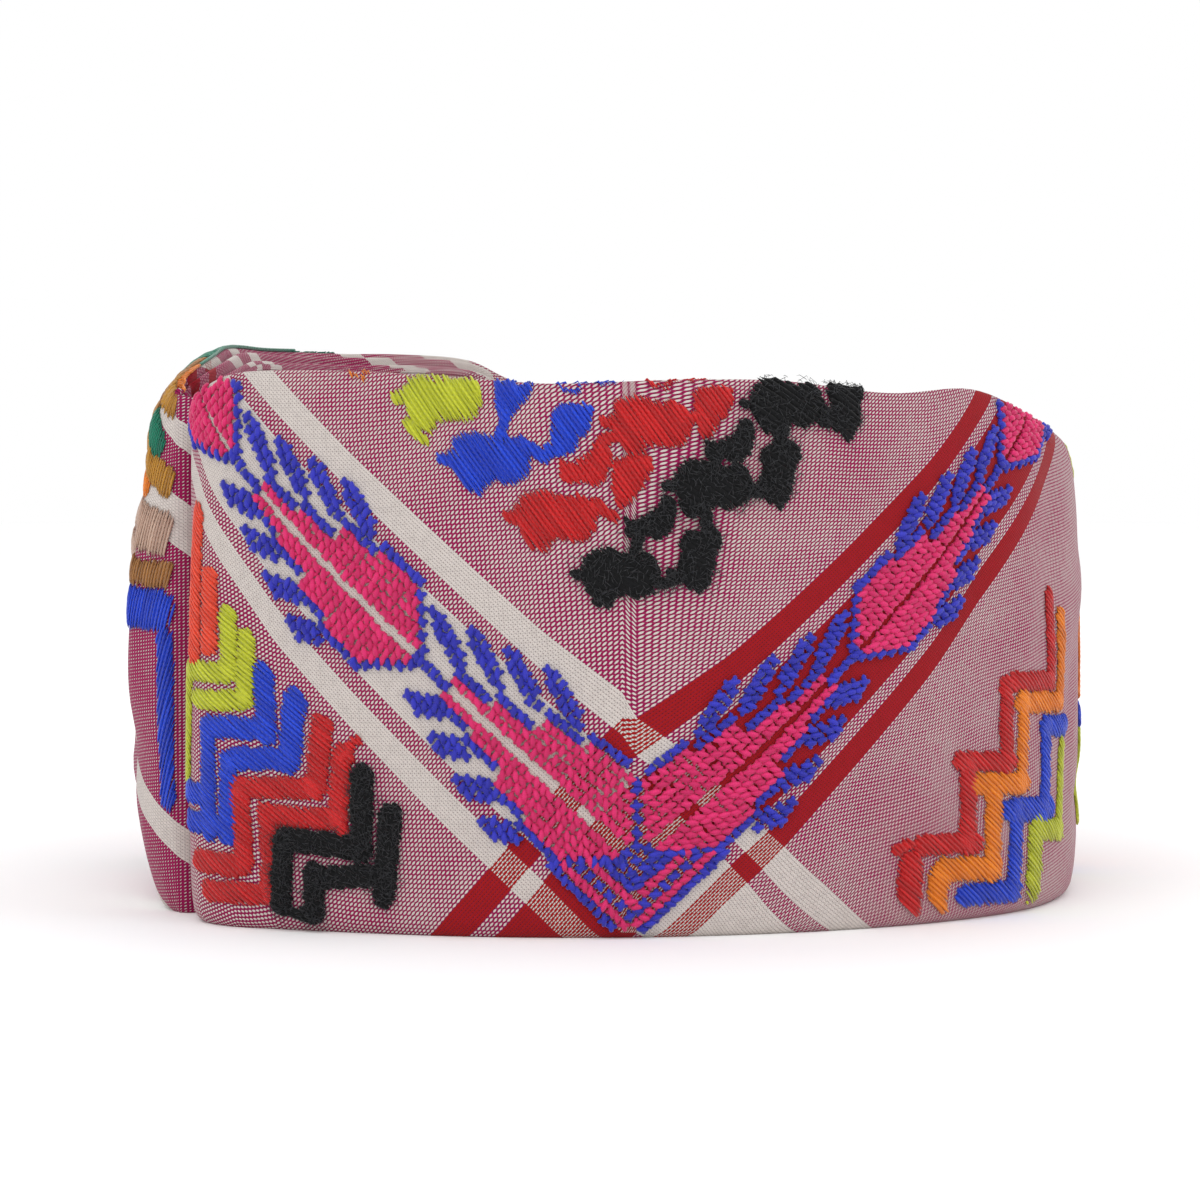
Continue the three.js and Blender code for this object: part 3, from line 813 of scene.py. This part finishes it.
# Satin stitch in bright silks and fuzzy black wool, over the ground between the borders: stepped pairs of
# blobs above the corner, double staircases low down at its sides, and the same again round the back and on
# the roll. The threads lie side by side, in two layers, over outlines in millimetres from a blob's middle.
LONG_BLOB = (
    (-6.5, 1.1), (-5.5, 3.6), (-3.6, 4.6), (-1.7, 4.7), (0.3, 4.0), (2.5, 3.3), (4.4, 3.9), (6.2, 2.9),
    (7.2, 0.8), (6.9, -1.7), (5.8, -3.3), (3.3, -4.0), (1.4, -3.3), (-0.3, -3.9), (-0.8, -5.0),
    (-1.4, -5.7), (-2.5, -5.0), (-3.9, -4.7), (-5.0, -2.8), (-6.1, -0.6), (-8.2, -0.4), (-8.1, 0.9),
)
UPRIGHT_BLOB = (
    (-3.4, 3.7), (-2.4, 5.1), (-0.3, 4.6), (1.0, 5.8), (3.3, 4.8), (3.7, 2.7), (2.7, 0.7), (2.6, -1.4),
    (1.7, -4.1), (0.0, -6.1), (-1.7, -4.8), (-3.1, -3.4), (-5.1, -3.4), (-5.6, -1.4), (-4.2, -1.9),
    (-3.1, 0.7), (-3.7, 2.2),
)
HALF_BLOB = (
    (-3.6, 3.4), (-1.6, 4.2), (3.2, 4.4), (2.6, 1.6), (1.4, -0.8), (-0.4, -3.0), (-2.4, -4.0),
    (-3.4, -1.4),
)
LOWER_HALF = (
    (3.4, 3.6), (4.2, 0.8), (3.6, -2.6), (1.6, -4.4), (-0.8, -3.4), (-3.8, -3.6), (-4.4, -0.4),
    (-2.4, -1.0), (0.6, 0.6), (1.9, 2.6),
)
# The colour, outline and middle of each blob
PAIRS = (
    ("lime", LONG_BLOB, -33.5, 90.6), ("blue", LONG_BLOB, -25.2, 80.2), ("blue", HALF_BLOB, -20.4, 91.2),
    ("blue", HALF_BLOB, -10.6, 85.0), ("blue", LONG_BLOB, -9.0, 97.0), ("red", LOWER_HALF, -8.6, 80.4),
    ("red", LONG_BLOB, -14.0, 70.6), ("red", HALF_BLOB, -0.6, 76.4), ("red", LONG_BLOB, 2.0, 86.2),
    ("red", LONG_BLOB, 6.4, 97.6), ("red", HALF_BLOB, 13.4, 88.0), ("black", LOWER_HALF, 2.2, 71.2),
    ("black", LONG_BLOB, -3.2, 61.0), ("black", UPRIGHT_BLOB, 10.6, 63.6),
    ("black", LONG_BLOB, 12.4, 75.8), ("black", LOWER_HALF, 15.8, 84.0),
    ("black", UPRIGHT_BLOB, 24.6, 77.8), ("black", LONG_BLOB, 25.8, 89.4),
    ("black", UPRIGHT_BLOB, 37.4, 89.2), ("orange", LONG_BLOB, -46.0, 99.6),
    ("lime", HALF_BLOB, -32.0, 99.8),
)
# The fine threads that run from one blob to the next, as bars: a colour, two ends on the band and a width
LINKS = (
    ("lime", -39, 86.4, -36, 83.6, 1.4), ("blue", -19, 83.2, -15.6, 80.6, 1.6),
    ("blue", -22, 88.4, -23, 84, 1.4), ("blue", -15.8, 80.8, -13.4, 82.4, 1.4),
    ("red", -7.2, 73.2, -4.0, 70.8, 1.6), ("red", -6.2, 82.8, -3.6, 84.6, 1.4),
    ("red", 8.0, 86.4, 10.4, 87.8, 1.4), ("black", 4.0, 59.6, 6.8, 60.4, 1.6),
    ("black", 0.4, 67.6, -0.4, 65.2, 1.6), ("black", 11.4, 71.8, 11.8, 69.0, 1.8),
    ("black", 18.8, 75.2, 21.0, 74.6, 1.6), ("black", 24.8, 83.0, 25.0, 85.6, 2.4),
    ("black", 32.4, 88.6, 34.4, 87.4, 1.8), ("black", 13.4, 80.2, 13.0, 78.6, 1.6),
)
LEFT_STAIRS = (
    ("coral", -80.4, 71, -80.4, 47, 4.4), ("coral", -75.8, 60.5, -75.6, 48.5, 3.6),
    ("lime", -71.9, 54.4, -71.4, 43.6, 2.8), ("lime", -68.2, 50.2, -68.6, 39.4, 2.8),
    ("lime", -83.0, 44.2, -72.2, 43.8, 3.2), ("lime", -79.0, 39.2, -68.8, 39.2, 3.0),
    ("lime", -83.4, 43.4, -84.6, 26.0, 4.0),
    ("blue", -65.2, 44.2, -64.4, 33.6, 3.6), ("blue", -59.2, 39.8, -60.4, 28.6, 3.9),
    ("blue", -76.0, 34.6, -65.0, 34.4, 3.6), ("blue", -70.6, 29.2, -60.4, 29.6, 3.6),
    ("blue", -76.0, 34.2, -76.4, 16.2, 3.0), ("blue", -71.8, 29.2, -72.4, 15.6, 2.8),
    ("blue", -85.0, 23.2, -77.4, 22.6, 3.6), ("blue", -83.0, 18.0, -73.0, 17.4, 3.4),
    ("red", -54.2, 35.6, -55.4, 24.4, 3.7), ("red", -50.4, 31.0, -51.4, 19.6, 3.4),
    ("red", -50.6, 30.0, -47.6, 33.2, 0.8), ("red", -69.4, 24.4, -55.6, 24.6, 3.3),
    ("red", -63.4, 19.8, -51.2, 19.4, 3.3), ("red", -69.8, 24.8, -69.0, 11.4, 3.2),
    ("red", -64.6, 20.6, -63.8, 6.2, 3.2), ("red", -79.8, 11.2, -69.2, 10.8, 3.6),
    ("red", -77.0, 6.2, -64.4, 6.2, 3.4), ("red", -51.4, 19.6, -49.6, 15.6, 2.0),
    ("black", -46.8, 27.4, -47.2, 14.0, 4.0), ("black", -41.8, 20.8, -43.2, 6.6, 4.0),
    ("black", -61.2, 15.8, -46.8, 14.6, 4.0), ("black", -54.0, 9.6, -43.6, 10.2, 3.8),
    ("black", -61.4, 16.0, -62.0, 4.4, 3.8), ("black", -55.8, 10.6, -55.8, 3.2, 3.6),
    ("black", -72.0, 2.6, -56.0, 2.8, 3.2),
)
RIGHT_STAIRS = (
    ("red", 49.8, 10.8, 49.8, 2.6, 5.0), ("red", 46.4, 13.4, 49.4, 14.6, 1.4),
    ("red", 51.6, 14.0, 65.0, 13.6, 3.2), ("red", 62.8, 13.2, 62.6, 27.2, 3.6),
    ("red", 60.4, 28.0, 73.2, 27.2, 3.2), ("red", 72.2, 26.6, 72.2, 41.0, 2.8),
    ("red", 74.0, 41.4, 87.4, 40.6, 3.0), ("red", 88.4, 40.4, 88.0, 56.0, 3.0),
    ("orange", 56.0, 2.4, 56.0, 8.4, 4.4), ("orange", 57.0, 9.6, 70.0, 8.8, 3.8),
    ("orange", 69.0, 8.2, 69.0, 23.6, 3.8), ("orange", 64.8, 24.0, 78.0, 23.2, 3.6),
    ("orange", 76.8, 22.8, 77.0, 38.4, 3.0), ("orange", 76.0, 37.4, 92.0, 36.8, 3.4),
    ("orange", 93.2, 36.4, 93.0, 52.0, 3.2),
    ("blue", 62.0, 4.6, 76.4, 4.2, 3.6), ("blue", 75.6, 4.0, 75.6, 19.0, 3.6),
    ("blue", 73.0, 18.8, 88.6, 17.8, 4.0), ("blue", 86.0, 17.4, 86.2, 33.0, 3.4),
    ("blue", 85.0, 32.6, 98.6, 32.0, 3.4),
    ("lime", 82.4, 3.2, 82.6, 15.0, 5.0), ("lime", 83.0, 14.6, 96.0, 13.4, 3.6),
    ("lime", 94.6, 13.2, 95.0, 28.4, 3.6),
)
ROLL_BARS = (
    ("teal", 366, 103.0, 412, 103.6, 7.0), ("teal", 420, 103.2, 468, 102.2, 7.6),
    ("orange", 384, 98.6, 412, 98.4, 2.8), ("teal", 388, 109.8, 430, 109.0, 5.6),
    ("teal", 434, 109.0, 482, 106.0, 6.0), ("orange", 486, 101.4, 503, 95.6, 3.6),
    ("gold", 454, 97.4, 488, 88.6, 3.4), ("tan", 472, 100.6, 486, 96.8, 3.6),
    ("orange", 484, 79.0, 495, 75.4, 3.0), ("tan", 478, 61.6, 503, 59.8, 3.8),
    ("blue", 502.4, 49.0, 502.6, 20.0, 3.2), ("gold", 490, 95.2, 503, 89.6, 3.6),
    ("gold", 426, 95.6, 448, 88.6, 4.2), ("tan", 438, 99.0, 466, 91.6, 4.4),
    ("tan", 432, 86.0, 458, 80.6, 4.6), ("gold", 462, 88.0, 486, 82.0, 4.0),
    ("teal", 488, 90.4, 499, 83.0, 4.6), ("tan", 476, 96.6, 492, 90.8, 4.0),
    ("gold", 494, 80.0, 503, 76.0, 4.4), ("orange", 404, 91.0, 424, 86.4, 3.2),
    ("gold", 398, 80.6, 422, 79.2, 3.2), ("linen", 436, 75.0, 470, 71.0, 6.0),
    ("linen", 474, 72.0, 502, 67.0, 7.4), ("linen", 442, 65.6, 476, 62.6, 4.0),
    ("blue", 412, 58.4, 446, 56.4, 4.6), ("blue", 452, 56.6, 502, 53.4, 6.6),
    ("teal", 396, 68.0, 430, 66.4, 3.6),
)
SILKS = {
    "blue": (shade(22, 74, 224), shade(8, 34, 146)),
    "red": (shade(218, 20, 24), shade(146, 6, 12)),
    "lime": (shade(206, 212, 48), shade(150, 156, 24)),
    "orange": (shade(246, 142, 14), shade(190, 92, 6)),
    "coral": (shade(242, 78, 44), shade(190, 44, 22)),
    "teal": (shade(4, 140, 106), shade(0, 76, 60)),
    "gold": (shade(206, 150, 50), shade(140, 92, 22)),
    "tan": (shade(182, 126, 66), shade(120, 76, 34)),
    "linen": (shade(208, 178, 158), shade(160, 126, 110)),
}
# The way that the threads lie, in degrees
BLOB_SLANT = -58
BAR_SLANT = -42
ROLL_SLANT = 68
# Where the motifs come again round the band: the pairs lie lower there, the left staircases higher, and one
# of the right staircases is turned over
PAIR_SHIFTS = (0, 168, 330)
PAIR_DROP = 8
LEFT_STAIR_SHIFTS = ((0, 0), (300, 4), (472, 2))
RIGHT_STAIR_TURNS = ((0, 1), (220, -1), (228, 1))
THREAD_SWAY = 0.12


def bar_outline(u0, v0, u1, v1, width):
    """A bar with cut corners, round its two ends."""
    reach = math.hypot(u1 - u0, v1 - v0)
    ahead = np.array((u1 - u0, v1 - v0)) / reach
    beside = np.array((-ahead[1], ahead[0])) * width / 2
    first, last = np.array((u0, v0)), np.array((u1, v1))
    soft = ahead * width * 0.4
    half = beside * 0.5
    return np.array((
        first - soft + half, first + beside, last + beside, last + soft + half,
        last + soft - half, last - beside, first - beside, first - soft - half,
    ))


def fill(outline, slant, apart, ragged):
    """Starts and ends of threads side by side over an outline, each a little longer or shorter."""
    corners = np.asarray(outline, float)
    turn = math.radians(slant)
    ahead = np.array((math.cos(turn), math.sin(turn)))
    beside = np.array((-math.sin(turn), math.cos(turn)))
    reach, out = corners @ ahead, corners @ beside
    next_reach, next_out = np.roll(reach, -1), np.roll(out, -1)
    threads = []
    for line in np.arange(out.min() + apart * draw.uniform(0.2, 0.8), out.max(), apart):
        crossed = (out <= line) != (next_out <= line)
        share = (line - out[crossed]) / (next_out - out)[crossed]
        hits = np.sort(reach[crossed] + share * (next_reach - reach)[crossed])
        for first, last in zip(hits[::2], hits[1::2]):
            if last - first > apart:
                first, last = first - draw.uniform(0, ragged), last + draw.uniform(0, ragged)
                off = draw.uniform(-THREAD_SWAY, THREAD_SWAY, 2)
                ends = (ahead * first + beside * (line + off[0]), ahead * last + beside * (line + off[1]))
                threads.append(ends)
    return threads


# Each colour's outlines, with the way that its threads lie
outlines = {colour: [] for colour in (*SILKS, "black")}
for shift in PAIR_SHIFTS:
    drop = PAIR_DROP if shift else 0
    for colour, blob, u, v in PAIRS:
        outlines[colour].append((np.array(blob) + (u + shift, v - drop), BLOB_SLANT))
    for colour, u0, v0, u1, v1, width in LINKS:
        link = bar_outline(u0 + shift, v0 - drop, u1 + shift, v1 - drop, width)
        outlines[colour].append((link, BLOB_SLANT))
for colour, u0, v0, u1, v1, width in LEFT_STAIRS:
    for shift, raised in LEFT_STAIR_SHIFTS:
        bar = bar_outline(u0 + shift, v0 + raised, u1 + shift, v1 + raised, width)
        outlines[colour].append((bar, BAR_SLANT))
for colour, u0, v0, u1, v1, width in RIGHT_STAIRS:
    for shift, way in RIGHT_STAIR_TURNS:
        bar = bar_outline(shift + way * u0, v0, shift + way * u1, v1, width)
        outlines[colour].append((bar, BAR_SLANT))
for colour, u0, v0, u1, v1, width in ROLL_BARS:
    outlines[colour].append((bar_outline(u0, v0, u1, v1, width), ROLL_SLANT))


def layers_of_threads(colour, layers, ragged, hem, tail):
    """Threads over a colour's outlines, layer on layer, and how far each is lifted.

    A layer is its turn in degrees, the space from thread to thread and its lift. Threads that come nearer to
    the floor than the hem, or past the tail of the band, are left out.
    """
    threads, lifts = [], []
    for turn, apart, lift in layers:
        for outline, slant in outlines[colour]:
            laid = fill(outline, slant + turn, apart, ragged)
            threads += laid
            lifts += [lift] * len(laid)
    threads = np.array(threads)
    kept = (threads[..., 1].min(axis=1) > hem) & (threads[..., 0].max(axis=1) < tail)
    return threads[kept, 0], threads[kept, 1], np.array(lifts)[kept]


SILK_APART = 0.39
SILK_LAYERS = ((0, SILK_APART, 0.1), (5, SILK_APART * 1.9, 0.32))
SILK_RAGGED = 1.1
SILK_WIDTH = 0.54
SILK_HEIGHT = 0.4
SILK_ARCH = 0.2
silk_template = thread_template(5, 5)
silk_tail = along_band[-1] - 1.5
for colour, (light, deep) in SILKS.items():
    finish = floss(f"{colour}_silk", light, deep, roughness=0.42, sheen=0.2, strands=1.0)
    starts, ends, lifts = layers_of_threads(colour, SILK_LAYERS, SILK_RAGGED, HEM, silk_tail)
    lay_threads(
        f"{colour}_satin", starts, ends, SILK_WIDTH, SILK_HEIGHT, lifts, silk_template, finish, SILK_ARCH
    )

# The wool is thicker, in two layers that cross, and fine fibres stand out from it all round
WOOL = floss("black_wool", shade(15, 16, 18), shade(5, 5, 7), roughness=0.95, sheen=0.08, strands=1.0)
FIBRE = floss("wool_fibres", shade(66, 67, 72), shade(8, 8, 10), roughness=0.85, sheen=0.1, strands=1.0)
WOOL_APART = 0.86
WOOL_LAYERS = ((0, WOOL_APART, 0.25), (24, WOOL_APART, 0.6))
WOOL_RAGGED = 0.5
WOOL_HEM = 1.4
WOOL_WIDTH = 1.15
WOOL_HEIGHT = 0.95
WOOL_ARCH = 0.1
FIBRES_PER_THREAD = 9
FIBRE_STRAY = 0.3
FIBRE_REACH = (0.7, 2.2)
FIBRE_HEM = 0.7
FIBRE_WIDTH = 0.12
FIBRE_HEIGHT = 0.1
FIBRE_LIFT = (0.7, 1.15)
FIBRE_ARCH = (0.1, 0.7)
starts, ends, lifts = layers_of_threads("black", WOOL_LAYERS, WOOL_RAGGED, WOOL_HEM, math.inf)
lay_threads(
    "black_wool_threads", starts, ends, WOOL_WIDTH, WOOL_HEIGHT, lifts, silk_template, WOOL, WOOL_ARCH
)
starts, ends = (np.repeat(places, FIBRES_PER_THREAD, axis=0) for places in (starts, ends))
count = len(starts)
share = draw.random((count, 1))
roots = starts + (ends - starts) * share + draw.normal(0, FIBRE_STRAY, (count, 2))
turn, reach = draw.uniform(0, 2 * math.pi, count), draw.uniform(*FIBRE_REACH, count)
tips = roots + np.stack((np.cos(turn), np.sin(turn)), axis=1) * reach[:, None]
above = np.minimum(roots[:, 1], tips[:, 1]) > FIBRE_HEM
roots, tips = roots[above], tips[above]
count = len(roots)
lifts, arches = draw.uniform(*FIBRE_LIFT, count), draw.uniform(*FIBRE_ARCH, count)
fibre_template = thread_template(3, 3)
lay_threads(
    "black_wool_fibres", roots, tips, FIBRE_WIDTH, FIBRE_HEIGHT, lifts, fibre_template, FIBRE, arches
)


# The white studio table, lit softly from above and in front, and the camera, which stands a little below the
# height of the band's upper edge and looks slightly down
FLOOR_RADIUS = 3.0
shape = bmesh.new()
bmesh.ops.create_circle(shape, cap_ends=True, segments=96, radius=FLOOR_RADIUS)
mesh = bpy.data.meshes.new("table_top")
shape.to_mesh(mesh)
shape.free()
floor = bpy.data.objects.new("table_top", mesh)
bpy.context.collection.objects.link(floor)
table_paint = Finish("table_paint", 0.9, specular=0.1)
table_paint.shader.inputs["Base Color"].default_value = shade(255, 255, 255)
floor.data.materials.append(table_paint.material)

world = bpy.data.worlds.new("studio")
bpy.context.scene.world = world
world.use_nodes = True
world.node_tree.nodes["Background"].inputs["Color"].default_value = (1.0, 1.0, 1.0, 1.0)
world.node_tree.nodes["Background"].inputs["Strength"].default_value = 1.0
SOFTBOXES = (
    # place, aim, size and power
    ((-0.35, -0.75, 0.95), (0.0, 0.0, 0.04), 0.8, 2.4),
    ((0.75, -0.35, 0.7), (0.0, 0.0, 0.04), 0.6, 1.0),
    ((0.1, 0.8, 0.9), (0.0, 0.0, 0.06), 0.8, 1.4),
)
for index, (place, aim, size, power) in enumerate(SOFTBOXES):
    lamp = bpy.data.lights.new(f"softbox_{index + 1}", "AREA")
    lamp.size = size
    lamp.energy = power
    light = bpy.data.objects.new(lamp.name, lamp)
    back = [place[axis] - aim[axis] for axis in range(3)]
    light.matrix_world = Matrix.LocRotScale(place, Vector(back).to_track_quat("Z", "Y"), None)
    bpy.context.collection.objects.link(light)

CAMERA_PLACE = (-0.00075, -0.715, 0.084)
CAMERA_DIP = 2.5
LENS = 111.6
camera_data = bpy.data.cameras.new("camera")
camera_data.lens = LENS
camera_data.sensor_width = 36
camera_data.sensor_fit = "HORIZONTAL"
camera_data.clip_start = 0.01
camera = bpy.data.objects.new("camera", camera_data)
camera.location = CAMERA_PLACE
camera.rotation_euler = (math.radians(90 - CAMERA_DIP), 0, 0)
bpy.context.collection.objects.link(camera)
bpy.context.scene.camera = camera
bpy.context.scene.view_settings.view_transform = "Standard"
